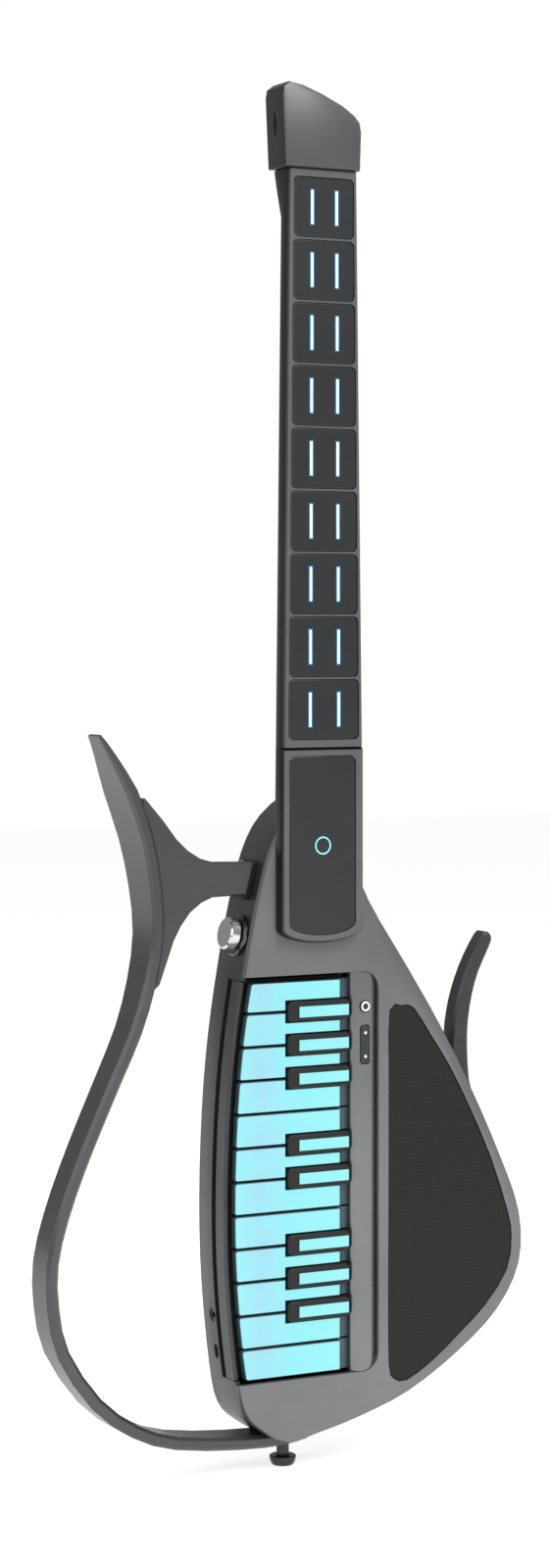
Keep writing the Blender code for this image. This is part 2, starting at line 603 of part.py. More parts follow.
def heel(plate_look, pad_look):
    half = HEEL_HALF + SIDE_SWELL
    bottom = [(NECK_X + half * math.cos(math.radians(a)), 341 + 9.5 * math.sin(math.radians(a)))
              for a in range(180, 361, 15)]
    loop = bottom + [(NECK_X + half, HEEL_Z), (NECK_X - half, HEEL_Z)]
    levels = [(NECK_FRONT + HEEL_THICK - GAP, 0), (NECK_FRONT + 4.5, 0), (NECK_FRONT + 0.6, 1.2), (NECK_FRONT, 1.8)]
    plate = node("heel_plate", slab(loop, levels), plate_look)
    inner = [(NECK_X - 0.8 + 23.5 * math.cos(math.radians(a)), 344.5 + 7.5 * math.sin(math.radians(a)))
             for a in range(180, 361, 15)]
    inner += [(NECK_X + 22.7, 446.0), (NECK_X + 19.7, 449.0), (NECK_X - 21.3, 449.0), (NECK_X - 24.3, 446.0)]
    cut(plate, slab(inset(inner, -0.35), [(NECK_FRONT - 3, 0), (NECK_FRONT + 2.4, 0)]))
    node("heel_pad", slab(inner, [(NECK_FRONT + 2.1, 0), (NECK_FRONT + 0.2, 0), (NECK_FRONT - 0.2, 0.5)]), pad_look)


def head(head_look, dark):
    levels = [(HEAD_BACK, 2.0), (HEAD_BACK - 2, 0), (HEAD_FRONT + 1.8, 0), (HEAD_FRONT + 0.4, 0.7), (HEAD_FRONT, 1.8)]
    block_node = node("head_block", slab(HEAD_KNOTS, levels), head_look)
    x = -16.9
    cut(block_node, block(x - 5, x + 5.0, -21.7, -18.3, 838, 852))
    thumb = block(x - 1.4, x + 3.4, -21.3, -18.7, 842, 848)
    node("head_switch", thumb, dark, (x, -20.0, 845.0))


def main():
    clear_scene()
    grey = look("gunmetal", (0.115, 0.12, 0.13), 0.38, 0.6)
    panel_grey = look("satin_grey", (0.16, 0.165, 0.175), 0.34, 0.6)
    dark = look("charcoal", (0.03, 0.03, 0.033), 0.5, 0.0)
    mesh_dark = look("grille_grey", (0.07, 0.072, 0.078), 0.6, 0.4)
    chrome = look("chrome", (0.7, 0.7, 0.72), 0.18, 1.0)
    steel = look("steel", (0.35, 0.35, 0.36), 0.35, 1.0)
    cyan = look("lit_key", (0.45, 0.85, 0.95), 0.3, 0.0)
    black = look("black_plastic", (0.012, 0.012, 0.014), 0.35, 0.0)
    green = look("board_green", (0.02, 0.12, 0.06), 0.5, 0.0)
    rear_shell(grey)
    front_panel(panel_grey)
    grille(mesh_dark)
    drivers(black)
    inner_pieces(dark, green)
    key_bed(black)
    pivot_rod(steel)
    for index in range(KEY_COUNT):
        white_key(index, cyan)
    for number, boundary in enumerate(BLACK_BOUNDARIES, 1):
        black_key(number, boundary, black)
    key_slip(grey)
    middle = control_strip(dark)
    strip_controls(middle, black)
    wall_pieces(chrome, black, steel)
    side_wing(grey)
    right_horn(grey)
    strap_button(steel)
    neck_shell(dark)
    neck_board(green)
    fretboard(grey, dark)
    heel(grey, dark)
    head(grey, black)


if __name__ == "__main__":
    main()
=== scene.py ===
"""Looks of a stringless smart guitar: satin housings, lit keys, touch pads with light bars, chrome knob."""
import json
import math

import bmesh
import bpy
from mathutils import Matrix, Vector


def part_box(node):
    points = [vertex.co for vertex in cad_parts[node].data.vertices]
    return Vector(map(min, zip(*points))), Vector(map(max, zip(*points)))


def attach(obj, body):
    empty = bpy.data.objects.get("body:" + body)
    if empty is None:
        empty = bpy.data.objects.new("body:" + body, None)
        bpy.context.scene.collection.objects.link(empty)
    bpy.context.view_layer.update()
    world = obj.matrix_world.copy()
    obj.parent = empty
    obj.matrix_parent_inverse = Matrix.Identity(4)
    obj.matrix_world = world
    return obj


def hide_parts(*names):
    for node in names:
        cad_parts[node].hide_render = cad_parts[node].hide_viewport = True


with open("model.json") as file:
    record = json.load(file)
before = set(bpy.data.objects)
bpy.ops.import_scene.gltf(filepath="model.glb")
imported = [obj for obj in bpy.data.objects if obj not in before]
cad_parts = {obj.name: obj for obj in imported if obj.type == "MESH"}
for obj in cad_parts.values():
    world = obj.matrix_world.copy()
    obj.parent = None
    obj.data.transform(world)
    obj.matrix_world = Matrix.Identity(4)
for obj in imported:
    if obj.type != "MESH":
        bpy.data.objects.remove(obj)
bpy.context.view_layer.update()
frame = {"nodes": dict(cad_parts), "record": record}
NODES = frame["nodes"]

bl_info = {
    "name": "Stringless guitar looks",
    "version": (1, 0, 0),
    "blender": (4, 5, 0),
    "location": "3D View > Sidebar > Guitar",
    "description": "Dresses the guitar's solids with finishes, lit pieces and a plain studio",
    "category": "Object",
}

RECORD = frame["record"]
BODY_OF = {node: body for body, names in RECORD["behaviour"]["bodies"].items() for node in names}
WHITE_KEYS = sorted(n for n in NODES if n.startswith("white_key_"))
BLACK_KEYS = sorted(n for n in NODES if n.startswith("black_key_"))
PADS = sorted(n for n in NODES if n.startswith("fret_pad_"))

# Lengths are in metres and colours are linear.
# Each finish holds what surface() takes beside its name.
FINISHES = {
    "ribbon_satin": {"colour": (0.085, 0.087, 0.092), "roughness": 0.30, "metallic": 0.5},
    "matt_black": {"colour": (0.012, 0.012, 0.013), "roughness": 0.6, "metallic": 0.0},
    "cell_wrap": {"colour": (0.03, 0.03, 0.035), "roughness": 0.5, "metallic": 0.0},
    "board_lacquer": {"colour": (0.02, 0.12, 0.06), "roughness": 0.4, "metallic": 0.0},
    "neck_coat": {"colour": (0.020, 0.020, 0.022), "roughness": 0.42, "metallic": 0.2},
    # The side colours of frame_satin and head_satin are painted shade: a darker colour on faces turned away
    # from the front.
    "frame_satin": {"colour": (0.15, 0.153, 0.16), "roughness": 0.33, "metallic": 0.45,
                    "side": (0.012, 0.012, 0.013)},
    "head_satin": {"colour": (0.11, 0.113, 0.118), "roughness": 0.36, "metallic": 0.4,
                   "side": (0.05, 0.051, 0.054)},
    "key_black": {"colour": (0.003, 0.003, 0.003), "roughness": 0.55, "metallic": 0.0},
    "strip_gloss": {"colour": (0.20, 0.202, 0.21), "roughness": 0.28, "metallic": 0.75},
    "button_black": {"colour": (0.03, 0.03, 0.032), "roughness": 0.35, "metallic": 0.0},
    "polished_chrome": {"colour": (0.62, 0.63, 0.65), "roughness": 0.16, "metallic": 1.0,
                        "variation": 0.04, "bump": 0.01},
    "turned_steel": {"colour": (0.42, 0.42, 0.43), "roughness": 0.3, "metallic": 1.0, "variation": 0.08},
    "dark_chrome": {"colour": (0.10, 0.10, 0.105), "roughness": 0.2, "metallic": 1.0},
    "black_steel": {"colour": (0.05, 0.05, 0.052), "roughness": 0.3, "metallic": 0.9},
    "bracket_black": {"colour": (0.008, 0.008, 0.009), "roughness": 0.4, "metallic": 0.2},
}
CLOUD_SCALE = 14.0
GRAIN_SCALE = 900.0
GLOSS_SPREAD = 0.06
LEAST_ROUGHNESS = 0.02
DENT_DEPTH = 0.0003
# Y normals between which the painted shade of a side colour fades in.
SHADED_SIDE_NORMALS = (-0.8, -0.3)

KEY_TONE_SPAN = (-0.045, 0.040)
KEY_CLOUD_SCALE = 60.0
KEY_ROUGHNESS = 0.28
KEY_FRONT_NORMALS = (-0.99, -0.86)
KEY_UNLIT = (0.004, 0.012, 0.016)
KEY_PLASTIC = (0.05, 0.09, 0.10)
INSET_X = 0.0184
INSET_LENGTH = 0.0354
INSET_DEPTH = 0.0004
INSET_LIFT = 0.00012
INSET_DROP = 0.0003

GRILLE_COLOUR = (0.009, 0.009, 0.010)
HOLE_PITCH = 0.0022

# Colour and emission of each lit mark.
GLOWS = {
    "mark_glow": ((0.25, 0.80, 0.95), 1.0),
    "bar_light": ((0.75, 0.97, 1.0), 1.6),
    "bar_halo": ((0.02, 0.16, 0.30), 0.7),
    "mark_light": ((0.9, 0.97, 1.0), 1.2),
}
GLOW_CLOUD_SCALE = 300.0

BAR_SHARES = (0.30, 0.71)
BAR_DEPTH = 0.0002
BAR_LIFT = 0.00008
HALO_LIFT = 0.00002
HALO_GROWTH = 0.0016
HEEL_RING = (0.0052, 0.0004)

POWER_RING = (0.0026, 0.00045)
POWER_RING_LIFT = 0.0001
ROCKER_LIGHT = (0.0014, 0.0003, 0.0014)
ROCKER_LIGHT_LIFT = 0.00005
ROCKER_LIGHT_REACH = 0.0075

RIB_CIRCLE = 0.0100
RIB_SIZE = (0.0006, 0.0006, 0.0052)
RIB_LIFT = 0.0066

WELD_DISTANCE = 0.000002
FLAT_ANGLE = math.radians(0.6)
SHARP_ANGLE = math.radians(34.0)
BEVEL_ANGLE = math.radians(50)
HEAD_EDGE = 0.0006

FLOOR_SIZE = 12
FLOOR_DROP = 0.0005
FLOOR_COLOUR = (0.75, 0.75, 0.75, 1)
WHITENING = 0.70
ROOM_LIGHT = 0.34
LAMPS = (("key_lamp", (0.3, -1.6, 1.9), 30.0), ("fill_lamp", (-1.6, -1.0, 1.1), 7.0),
         ("top_lamp", (0.1, -0.2, 2.2), 14.0))
LAMP_SIZE = 1.2
LAMP_AIM = (0.0, 0, 0.4)
CAMERA_PLACE = (-0.9677, -1.8116, 0.530)
CAMERA_TURN = (math.pi / 2, 0, -math.atan2(0.469, 0.883))
CAMERA_SENSOR = 36.0
CAMERA_LENS = 74.4
CAMERA_SHIFT = -0.1


class GuitarFinish(bpy.types.PropertyGroup):
    # The shell colour is painted shade: the panel's satin made darker to stand for shade on the side walls.
    shaded_shell_colour: bpy.props.FloatVectorProperty(
        name="Shell", description="Colour of the side walls", subtype="COLOR", size=3,
        default=(0.052, 0.054, 0.058))
    panel_colour: bpy.props.FloatVectorProperty(
        name="Panel", description="Colour of the front panel", subtype="COLOR", size=3,
        default=(0.20, 0.204, 0.212))
    pad_colour: bpy.props.FloatVectorProperty(
        name="Pads", description="Colour of the touch pads", subtype="COLOR", size=3,
        default=(0.026, 0.027, 0.03))
    glow_colour: bpy.props.FloatVectorProperty(
        name="Glow", description="Colour of the lit keys", subtype="COLOR", size=3,
        default=(0.30, 0.92, 0.98))
    glow_pale: bpy.props.FloatVectorProperty(
        name="Pale glow", description="Second colour of the keys", subtype="COLOR", size=3,
        default=(0.43, 0.66, 0.88))
    glow_strength: bpy.props.FloatProperty(
        name="Glow strength", description="Emission of the lit keys", default=0.85, min=0.0, max=5.0)


class GuitarSizes(bpy.types.PropertyGroup):
    bar_length: bpy.props.FloatProperty(
        name="Bar length", description="Length of a pad's light bar", default=0.021,
        subtype="DISTANCE", unit="LENGTH")
    bar_width: bpy.props.FloatProperty(
        name="Bar width", description="Width of a pad's light bar", default=0.0014,
        subtype="DISTANCE", unit="LENGTH")
    inset_height: bpy.props.FloatProperty(
        name="Inset height", description="Height of a black key's lit inset", default=0.0068,
        subtype="DISTANCE", unit="LENGTH")
    key_light_end: bpy.props.FloatProperty(
        name="Key light end", description="X where the lit caps of the keys end", default=0.0319,
        subtype="DISTANCE", unit="LENGTH")
    rib_count: bpy.props.IntProperty(
        name="Knob ribs", description="Ribs round the knob", default=48, min=12, max=120)


def finish_settings():
    return bpy.context.scene.guitar_finish


def size_settings():
    return bpy.context.scene.guitar_sizes


def new_material(name):
    made = bpy.data.materials.new(name)
    made.use_nodes = True
    return made, made.node_tree.nodes, made.node_tree.links, made.node_tree.nodes["Principled BSDF"]


def noise(nodes, links, coords, scale, detail=3.0):
    texture = nodes.new("ShaderNodeTexNoise")
    texture.inputs["Scale"].default_value = scale
    texture.inputs["Detail"].default_value = detail
    links.new(coords.outputs["Object"], texture.inputs["Vector"])
    return texture


def ramp(nodes, links, source, stops):
    made = nodes.new("ShaderNodeValToRGB")
    while len(made.color_ramp.elements) < len(stops):
        made.color_ramp.elements.new(0.5)
    for element, (place, colour) in zip(made.color_ramp.elements, stops):
        element.position = place
        element.color = (*colour, 1.0)
    links.new(source, made.inputs["Fac"])
    return made


def maths(nodes, links, operation, first, second=None, value=None):
    """Output of a maths node on one or two sockets, or on a socket and a value."""
    made = nodes.new("ShaderNodeMath")
    made.operation = operation
    links.new(first, made.inputs[0])
    if second is not None:
        links.new(second, made.inputs[1])
    elif value is not None:
        made.inputs[1].default_value = value
    return made.outputs[0]


def blend(nodes, links, share, first, colour):
    """First colour where the share is 0, the given constant colour where it is 1."""
    mix = nodes.new("ShaderNodeMix")
    mix.data_type = "RGBA"
    links.new(share, mix.inputs["Factor"])
    links.new(first, mix.inputs["A"])
    mix.inputs["B"].default_value = (*colour, 1.0)
    return mix.outputs["Result"]


def off_front(nodes, links, low, high):
    """0 where a face's Y normal is at low or under, 1 where it is at high or over."""
    facing = nodes.new("ShaderNodeNewGeometry")
    parts = nodes.new("ShaderNodeSeparateXYZ")
    links.new(facing.outputs["Normal"], parts.inputs["Vector"])
    front = nodes.new("ShaderNodeMapRange")
    front.inputs["From Min"].default_value = low
    front.inputs["From Max"].default_value = high
    links.new(parts.outputs["Y"], front.inputs["Value"])
    return front.outputs["Result"]


def surface(name, colour, roughness, metallic, variation=0.12, bump=0.04, side=None):
    """Moulded, painted or metal surface: cloudy tone, fine grain, uneven gloss, painted shade in a side
    colour if given.
    """
    made, nodes, links, shader = new_material(name)
    coords = nodes.new("ShaderNodeTexCoord")
    cloud = noise(nodes, links, coords, CLOUD_SCALE)
    low = tuple(c * (1 - variation) for c in colour)
    high = tuple(min(1.0, c * (1 + variation)) for c in colour)
    tone = ramp(nodes, links, cloud.outputs["Fac"], [(0.3, low), (0.7, high)])
    shown = tone.outputs["Color"]
    # Painted shade: faces turned away from the front take the darker side colour.
    if side:
        shown = blend(nodes, links, off_front(nodes, links, *SHADED_SIDE_NORMALS), shown, side)
    links.new(shown, shader.inputs["Base Color"])
    fine = noise(nodes, links, coords, GRAIN_SCALE, 2.0)
    gloss = nodes.new("ShaderNodeMapRange")
    gloss.inputs["To Min"].default_value = max(LEAST_ROUGHNESS, roughness - GLOSS_SPREAD)
    gloss.inputs["To Max"].default_value = roughness + GLOSS_SPREAD
    links.new(fine.outputs["Fac"], gloss.inputs["Value"])
    links.new(gloss.outputs["Result"], shader.inputs["Roughness"])
    dent = nodes.new("ShaderNodeBump")
    dent.inputs["Strength"].default_value = bump
    dent.inputs["Distance"].default_value = DENT_DEPTH
    links.new(fine.outputs["Fac"], dent.inputs["Height"])
    links.new(dent.outputs["Normal"], shader.inputs["Normal"])
    shader.inputs["Metallic"].default_value = metallic
    return made


def finish(name):
    return surface(name, **FINISHES[name])


def lit_key_material(name, cool, pale, strength, end=1.0):
    """Plastic that glows on its front up to an X, in a colour that drifts along the key."""
    made, nodes, links, shader = new_material(name)
    coords = nodes.new("ShaderNodeTexCoord")
    split = nodes.new("ShaderNodeSeparateXYZ")
    links.new(coords.outputs["Object"], split.inputs["Vector"])
    along = nodes.new("ShaderNodeMapRange")
    along.inputs["From Min"].default_value, along.inputs["From Max"].default_value = KEY_TONE_SPAN
    links.new(split.outputs["X"], along.inputs["Value"])
    bright = tuple(min(1.0, c * 1.12) for c in cool)
    stops = [(0.0, bright), (0.22, pale), (0.5, cool), (1.0, bright)]
    tone = ramp(nodes, links, along.outputs["Result"], stops)
    cloud = noise(nodes, links, coords, KEY_CLOUD_SCALE)
    lit = blend(nodes, links, cloud.outputs["Fac"], tone.outputs["Color"], cool)
    past = maths(nodes, links, "GREATER_THAN", split.outputs["X"], value=end)
    dark = maths(nodes, links, "MAXIMUM", past, off_front(nodes, links, *KEY_FRONT_NORMALS))
    links.new(blend(nodes, links, dark, lit, KEY_UNLIT), shader.inputs["Emission Color"])
    shader.inputs["Emission Strength"].default_value = strength
    shader.inputs["Base Color"].default_value = (*KEY_PLASTIC, 1.0)
    shader.inputs["Roughness"].default_value = KEY_ROUGHNESS
    return made


def glow_material(name):
    """Lit mark with a slightly cloudy tone."""
    colour, strength = GLOWS[name]
    made, nodes, links, shader = new_material(name)
    coords = nodes.new("ShaderNodeTexCoord")
    cloud = noise(nodes, links, coords, GLOW_CLOUD_SCALE)
    low = tuple(c * 0.85 for c in colour)
    tone = ramp(nodes, links, cloud.outputs["Fac"], [(0.35, low), (0.65, colour)])
    links.new(tone.outputs["Color"], shader.inputs["Base Color"])
    links.new(tone.outputs["Color"], shader.inputs["Emission Color"])
    shader.inputs["Emission Strength"].default_value = strength
    return made


def grille_material(name, colour):
    """Pressed sheet with rows of small dark holes."""
    made, nodes, links, shader = new_material(name)
    coords = nodes.new("ShaderNodeTexCoord")
    split = nodes.new("ShaderNodeSeparateXYZ")
    links.new(coords.outputs["Object"], split.inputs["Vector"])
    waves = []
    for axis in ("X", "Z"):
        turn = maths(nodes, links, "MULTIPLY", split.outputs[axis], value=2 * math.pi / HOLE_PITCH)
        waves.append(maths(nodes, links, "COSINE", turn))
    both = maths(nodes, links, "ADD", *waves)
    tone = ramp(nodes, links, both, [(0.45, colour), (0.75, tuple(c * 0.25 for c in colour))])
    links.new(tone.outputs["Color"], shader.inputs["Base Color"])
    shader.inputs["Roughness"].default_value = 0.5
    shader.inputs["Metallic"].default_value = 0.3
    return made


def paint(names, material):
    """Finish on solids that stay as they are: the hidden ones."""
    for name in names:
        NODES[name].data.materials.clear()
        NODES[name].data.materials.append(material)


def dress(names, material, edge=0.0):
    """Smoothly shaded skins of the solids, with softened edges where a width is given."""
    for name in names:
        mesh = bpy.data.meshes.new(name + "_skin")
        shaped = bmesh.new()
        shaped.from_mesh(NODES[name].data)
        bmesh.ops.remove_doubles(shaped, verts=shaped.verts, dist=WELD_DISTANCE)
        bmesh.ops.dissolve_limit(shaped, angle_limit=FLAT_ANGLE, verts=shaped.verts, edges=shaped.edges)
        shaped.to_mesh(mesh)
        shaped.free()
        if "custom_normal" in mesh.attributes:
            mesh.attributes.remove(mesh.attributes["custom_normal"])
        mesh.materials.clear()
        mesh.materials.append(material)
        for face in mesh.polygons:
            face.material_index = 0
        mesh.shade_smooth()
        mesh.set_sharp_from_angle(angle=SHARP_ANGLE)
        skin = bpy.data.objects.new(name + "_skin", mesh)
        bpy.context.scene.collection.objects.link(skin)
        if edge:
            soft = skin.modifiers.new("soft_edge", "BEVEL")
            soft.width = edge
            soft.segments = 2
            soft.limit_method = "ANGLE"
            soft.angle_limit = BEVEL_ANGLE
            soft.harden_normals = True
        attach(skin, BODY_OF[name])
        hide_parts(name)


def new_tree(name, inputs):
    """Geometry tree with the given inputs, and its input node."""
    tree = bpy.data.node_groups.new(name, "GeometryNodeTree")
    for label, kind in inputs:
        tree.interface.new_socket(label, in_out="INPUT", socket_type=kind)
    tree.interface.new_socket("Geometry", in_out="OUTPUT", socket_type="NodeSocketGeometry")
    return tree, tree.nodes.new("NodeGroupInput")


def set_on_points(tree, entry, points, piece):
    """Copies of a piece on points, made real in the input material: the end of a tree."""
    nodes, links = tree.nodes, tree.links
    copies = nodes.new("GeometryNodeInstanceOnPoints")
    real = nodes.new("GeometryNodeRealizeInstances")
    dressed = nodes.new("GeometryNodeSetMaterial")
    out = nodes.new("NodeGroupOutput")
    links.new(points, copies.inputs["Points"])
    links.new(piece, copies.inputs["Instance"])
    links.new(copies.outputs["Instances"], real.inputs["Geometry"])
    links.new(real.outputs["Geometry"], dressed.inputs["Geometry"])
    links.new(entry.outputs["Material"], dressed.inputs["Material"])
    links.new(dressed.outputs["Geometry"], out.inputs["Geometry"])
    return copies


def row_tree():
    """Row of like boxes: their count, first place, step, size and material are the inputs."""
    tree, entry = new_tree("row_of_pieces", (
        ("Count", "NodeSocketInt"), ("Start", "NodeSocketVector"), ("Step", "NodeSocketVector"),
        ("Size", "NodeSocketVector"), ("Material", "NodeSocketMaterial")))
    nodes, links = tree.nodes, tree.links
    line = nodes.new("GeometryNodeMeshLine")
    box = nodes.new("GeometryNodeMeshCube")
    links.new(entry.outputs["Count"], line.inputs["Count"])
    links.new(entry.outputs["Start"], line.inputs["Start Location"])
    links.new(entry.outputs["Step"], line.inputs["Offset"])
    links.new(entry.outputs["Size"], box.inputs["Size"])
    set_on_points(tree, entry, line.outputs["Mesh"], box.outputs["Mesh"])
    return tree


def ring_tree():
    """Ribs set round a circle: their count, size and material and the circle's radius are the inputs."""
    tree, entry = new_tree("ring_of_ribs", (
        ("Count", "NodeSocketInt"), ("Radius", "NodeSocketFloat"), ("Size", "NodeSocketVector"),
        ("Material", "NodeSocketMaterial")))
    nodes, links = tree.nodes, tree.links
    circle = nodes.new("GeometryNodeMeshCircle")
    rib = nodes.new("GeometryNodeMeshCube")
    outward = nodes.new("GeometryNodeInputPosition")
    align = nodes.new("FunctionNodeAlignRotationToVector")
    align.axis = "X"
    links.new(entry.outputs["Count"], circle.inputs["Vertices"])
    links.new(entry.outputs["Radius"], circle.inputs["Radius"])
    links.new(entry.outputs["Size"], rib.inputs["Size"])
    links.new(outward.outputs["Position"], align.inputs["Vector"])
    copies = set_on_points(tree, entry, circle.outputs["Mesh"], rib.outputs["Mesh"])
    links.new(align.outputs["Rotation"], copies.inputs["Rotation"])
    return tree


def grown(name, tree, values):
    """Plain mesh object made by a node tree with the given inputs."""
    seed = bpy.data.objects.new(name + "_seed", bpy.data.meshes.new(name + "_seed"))
    bpy.context.scene.collection.objects.link(seed)
    step = seed.modifiers.new("grow", "NODES")
    step.node_group = tree
    for item in tree.interface.items_tree:
        if item.in_out == "INPUT" and item.name in values:
            step[item.identifier] = values[item.name]
    seed.update_tag()
    graph = bpy.context.evaluated_depsgraph_get()
    mesh = bpy.data.meshes.new_from_object(seed.evaluated_get(graph))
    bpy.data.objects.remove(seed, do_unlink=True)
    made = bpy.data.objects.new(name, mesh)
    bpy.context.scene.collection.objects.link(made)
    return made


def flat_ring(name, centre, radius, thick, material):
    """Ring that faces the front, half sunk in the face it lies on."""
    bpy.ops.mesh.primitive_torus_add(major_radius=radius, minor_radius=thick, major_segments=48,
                                     minor_segments=8, location=centre, rotation=(math.pi / 2, 0, 0))
    ring = bpy.context.object
    ring.name = name
    bpy.ops.object.transform_apply(location=True, rotation=True, scale=True)
    ring.data.materials.append(material)
    ring.data.shade_smooth()
    return ring


def boxes(name, tree, material, places, size, body):
    """Boxes of one size at evenly spaced places, riding a body."""
    step = places[1] - places[0] if len(places) > 1 else Vector((0, 0, 0))
    made = grown(name, tree, {"Count": len(places), "Start": tuple(places[0]), "Step": tuple(step),
                              "Size": size, "Material": material})
    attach(made, body)


class GUITAR_OT_dress_body(bpy.types.Operator):
    """Gives the shells, ribbon, horn, grille and hidden pieces their finishes"""
    bl_idname = "guitar.dress_body"
    bl_label = "Dress body"

    def execute(self, context):
        looks = finish_settings()
        # Painted shade: the shell is the panel's satin in a darker colour for the shaded side walls, and the
        # panel is the lit copy.
        shell = surface("shaded_satin_shell", tuple(looks.shaded_shell_colour), roughness=0.36, metallic=0.45)
        panel = surface("satin_panel", tuple(looks.panel_colour), roughness=0.33, metallic=0.45)
        dress(["body_rear_shell", "key_slip", "right_horn"], shell)
        dress(["body_front_panel"], panel)
        dress(["side_wing"], finish("ribbon_satin"))
        dress(["speaker_grille"], grille_material("pressed_grille", GRILLE_COLOUR))
        paint(["speaker_driver", "tweeter_driver", "key_bed"], finish("matt_black"))
        paint(["battery_pack"], finish("cell_wrap"))
        paint(["main_board", "neck_board"], finish("board_lacquer"))
        return {"FINISHED"}


class GUITAR_OT_dress_neck(bpy.types.Operator):
    """Gives the neck, head, heel and pads their finishes and sets a plain lit ring on the heel pad"""
    bl_idname = "guitar.dress_neck"
    bl_label = "Dress neck"

    def execute(self, context):
        looks = finish_settings()
        dress(["neck_shell"], finish("neck_coat"))
        dress(["fretboard_frame", "heel_plate"], finish("frame_satin"))
        dress(["head_block"], finish("head_satin"), edge=HEAD_EDGE)
        pad = surface("pad_satin", tuple(looks.pad_colour), roughness=0.32, metallic=0.1, bump=0.06)
        dress(PADS + ["heel_pad"], pad)
        low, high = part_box("heel_pad")
        centre = ((low[0] + high[0]) / 2, low[1], (low[2] + high[2]) / 2)
        mark = flat_ring("heel_mark", centre, *HEEL_RING, glow_material("mark_glow"))
        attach(mark, BODY_OF["heel_pad"])
        return {"FINISHED"}


class GUITAR_OT_light_pads(bpy.types.Operator):
    """Sets two light bars, each on a wider dim one, in each touch pad"""
    bl_idname = "guitar.light_pads"
    bl_label = "Light pads"

    def execute(self, context):
        sizes = size_settings()
        tree = row_tree()
        bar = glow_material("bar_light")
        halo = glow_material("bar_halo")
        for name in PADS:
            low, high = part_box(name)
            width = high[0] - low[0]
            middle = (low[2] + high[2]) / 2
            for label, material, growth, lift in (("halo", halo, HALO_GROWTH, HALO_LIFT),
                                                  ("bar", bar, 0.0, BAR_LIFT)):
                places = [Vector((low[0] + width * share, low[1] - lift, middle)) for share in BAR_SHARES]
                size = (sizes.bar_width + growth, BAR_DEPTH, sizes.bar_length + growth)
                boxes(f"{name}_{label}", tree, material, places, size, name + "_body")
        return {"FINISHED"}


class GUITAR_OT_light_keys(bpy.types.Operator):
    """Makes the white keys glow and sets the lit insets of the black keys"""
    bl_idname = "guitar.light_keys"
    bl_label = "Light keys"

    def execute(self, context):
        looks, sizes = finish_settings(), size_settings()
        tones = (tuple(looks.glow_colour), tuple(looks.glow_pale), looks.glow_strength)
        dress(WHITE_KEYS, lit_key_material("key_light", *tones, end=sizes.key_light_end))
        dress(BLACK_KEYS, finish("key_black"))
        inset_glow = lit_key_material("inset_light", *tones)
        tree = row_tree()
        size = (INSET_LENGTH, INSET_DEPTH, sizes.inset_height)
        for name in BLACK_KEYS:
            low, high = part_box(name)
            place = Vector((INSET_X, low[1] - INSET_LIFT, (low[2] + high[2]) / 2 - INSET_DROP))
            boxes(f"{name}_inset", tree, inset_glow, [place], size, name + "_body")
        return {"FINISHED"}


class GUITAR_OT_dress_controls(bpy.types.Operator):
    """Finishes the control strip, its button and rocker, their lights and the head switch"""
    bl_idname = "guitar.dress_controls"
    bl_label = "Dress controls"

    def execute(self, context):
        dress(["control_strip"], finish("strip_gloss"))
        dress(["power_button", "volume_rocker", "head_switch"], finish("button_black"))
        light = glow_material("mark_light")
        low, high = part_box("power_button")
        centre = ((low[0] + high[0]) / 2, low[1] - POWER_RING_LIFT, (low[2] + high[2]) / 2)
        ring = flat_ring("power_ring", centre, *POWER_RING, light)
        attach(ring, "power_button_body")
        low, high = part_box("volume_rocker")
        x, z = (low[0] + high[0]) / 2, (low[2] + high[2]) / 2
        places = [Vector((x, low[1] - ROCKER_LIGHT_LIFT, z + side * ROCKER_LIGHT_REACH)) for side in (-1, 1)]
        boxes("rocker_lights", row_tree(), light, places, ROCKER_LIGHT, "volume_rocker_body")
        return {"FINISHED"}


class GUITAR_OT_dress_hardware(bpy.types.Operator):
    """Finishes the knob, its ribs and collar, bracket, screws, rod, jacks and strap button"""
    bl_idname = "guitar.dress_hardware"
    bl_label = "Dress hardware"

    def execute(self, context):
        chrome, steel = finish("polished_chrome"), finish("turned_steel")
        dress(["tone_knob"], chrome)
        dress(["knob_collar"], finish("dark_chrome"))
        dress(["strap_button"], finish("black_steel"))
        dress(["bracket_screw_1", "bracket_screw_2"], steel)
        paint(["key_pivot_rod"], steel)
        dress(["wing_bracket", "headphone_jack", "charge_port"], finish("bracket_black"))
        joint = next(j for j in RECORD["behaviour"]["joints"] if j["name"] == "tone_knob_turn")
        axis, place = Vector(joint["axis"]), Vector(joint["pos_m"])
        ribs = grown("knob_ribs", ring_tree(), {"Count": size_settings().rib_count, "Radius": RIB_CIRCLE,
                                                "Size": RIB_SIZE, "Material": chrome})
        turn = axis.to_track_quat("Z", "Y").to_matrix().to_4x4()
        turn.translation = place + axis * RIB_LIFT
        ribs.data.transform(turn)
        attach(ribs, "tone_knob_body")
        return {"FINISHED"}


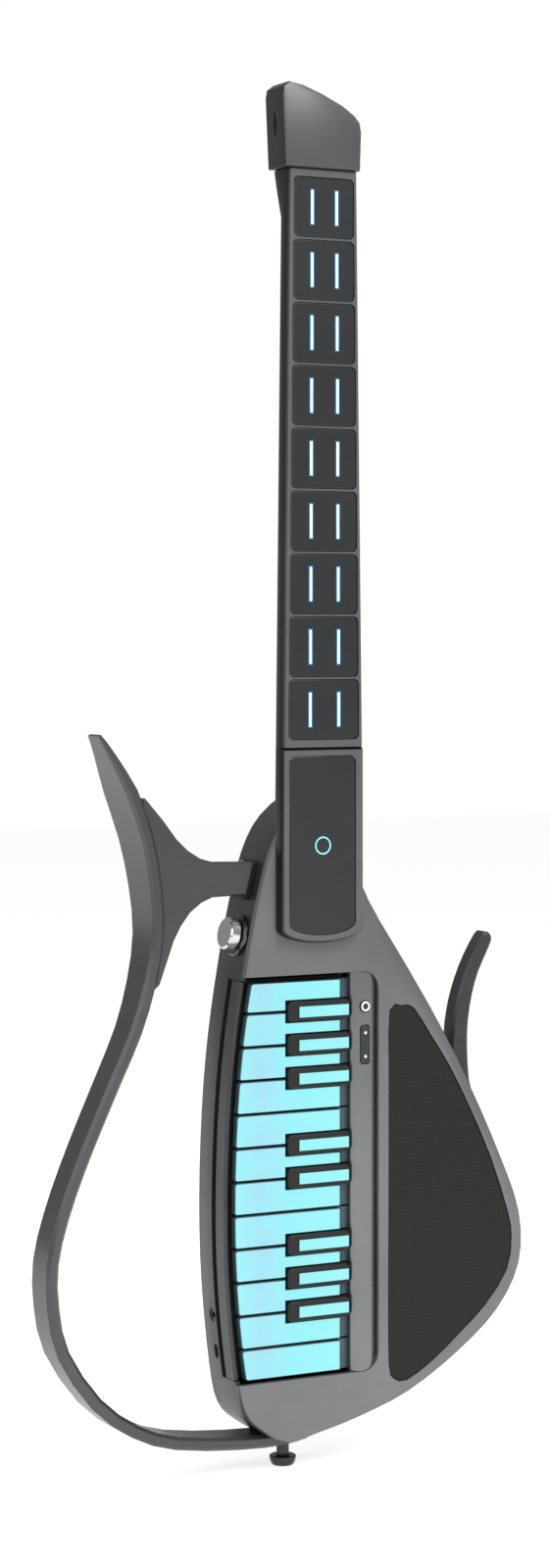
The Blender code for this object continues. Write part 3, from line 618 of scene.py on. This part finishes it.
class GUITAR_OT_stage(bpy.types.Operator):
    """Sets the pale floor, the room's light, soft lamps and the camera"""
    bl_idname = "guitar.stage"
    bl_label = "Stage"

    def execute(self, context):
        self.floor()
        self.room(context.scene)
        for name, place, power in LAMPS:
            self.lamp(name, place, power)
        self.camera(context.scene)
        return {"FINISHED"}

    def floor(self):
        bpy.ops.mesh.primitive_plane_add(size=FLOOR_SIZE, location=(0, 0, -FLOOR_DROP))
        plane = bpy.context.object
        plane.name = "floor"
        made, nodes, links, shader = new_material("pale_floor")
        shader.inputs["Base Color"].default_value = FLOOR_COLOUR
        shader.inputs["Roughness"].default_value = 0.9
        shine = nodes.new("ShaderNodeEmission")
        links.new(self.whitened_rays(nodes, links), shine.inputs["Strength"])
        add = nodes.new("ShaderNodeAddShader")
        links.new(shader.outputs["BSDF"], add.inputs[0])
        links.new(shine.outputs["Emission"], add.inputs[1])
        links.new(add.outputs["Shader"], nodes["Material Output"].inputs["Surface"])
        plane.data.materials.append(made)

    def whitened_rays(self, nodes, links):
        """Whitening share for camera, glossy and transmitted rays, 0 for the others."""
        path = nodes.new("ShaderNodeLightPath")
        total = path.outputs["Is Camera Ray"]
        for name in ("Is Glossy Ray", "Is Transmission Ray"):
            total = maths(nodes, links, "ADD", total, path.outputs[name])
            total.node.use_clamp = True
        return maths(nodes, links, "MULTIPLY", total, value=WHITENING)

    def room(self, scene):
        made = bpy.data.worlds.new("soft_room")
        scene.world = made
        made.use_nodes = True
        nodes, links = made.node_tree.nodes, made.node_tree.links
        back = nodes["Background"]
        path = nodes.new("ShaderNodeLightPath")
        power = nodes.new("ShaderNodeMapRange")
        power.inputs["To Min"].default_value = ROOM_LIGHT
        power.inputs["To Max"].default_value = 1.0
        links.new(path.outputs["Is Camera Ray"], power.inputs["Value"])
        back.inputs["Color"].default_value = (1, 1, 1, 1)
        links.new(power.outputs["Result"], back.inputs["Strength"])

    def lamp(self, name, place, power):
        data = bpy.data.lights.new(name, "AREA")
        data.energy = power
        data.size = LAMP_SIZE
        item = bpy.data.objects.new(name, data)
        item.location = place
        item.rotation_euler = (Vector(LAMP_AIM) - Vector(place)).to_track_quat("-Z", "Y").to_euler()
        bpy.context.scene.collection.objects.link(item)

    def camera(self, scene):
        data = bpy.data.cameras.new("view")
        data.sensor_width = CAMERA_SENSOR
        data.lens = CAMERA_LENS
        data.shift_y = CAMERA_SHIFT
        item = bpy.data.objects.new("view", data)
        item.location = CAMERA_PLACE
        item.rotation_euler = CAMERA_TURN
        scene.collection.objects.link(item)
        scene.camera = item


class GUITAR_PT_looks(bpy.types.Panel):
    bl_idname = "GUITAR_PT_looks"
    bl_label = "Guitar looks"
    bl_space_type = "VIEW_3D"
    bl_region_type = "UI"
    bl_category = "Guitar"

    def draw(self, context):
        for settings in (context.scene.guitar_finish, context.scene.guitar_sizes):
            for name in settings.__annotations__:
                self.layout.prop(settings, name)
        for operator in OPERATORS:
            self.layout.operator(operator.bl_idname)


OPERATORS = (GUITAR_OT_dress_body, GUITAR_OT_dress_neck, GUITAR_OT_light_pads, GUITAR_OT_light_keys,
             GUITAR_OT_dress_controls, GUITAR_OT_dress_hardware, GUITAR_OT_stage)
CLASSES = (GuitarFinish, GuitarSizes, *OPERATORS, GUITAR_PT_looks)


def register():
    for item in CLASSES:
        bpy.utils.register_class(item)
    bpy.types.Scene.guitar_finish = bpy.props.PointerProperty(type=GuitarFinish)
    bpy.types.Scene.guitar_sizes = bpy.props.PointerProperty(type=GuitarSizes)


def unregister():
    del bpy.types.Scene.guitar_sizes
    del bpy.types.Scene.guitar_finish
    for item in reversed(CLASSES):
        bpy.utils.unregister_class(item)


def main():
    register()
    bpy.context.scene.view_settings.view_transform = "Standard"
    bpy.ops.guitar.dress_body()
    bpy.ops.guitar.dress_neck()
    bpy.ops.guitar.light_pads()
    bpy.ops.guitar.light_keys()
    bpy.ops.guitar.dress_controls()
    bpy.ops.guitar.dress_hardware()
    bpy.ops.guitar.stage()


if __name__ == "__main__":
    main()
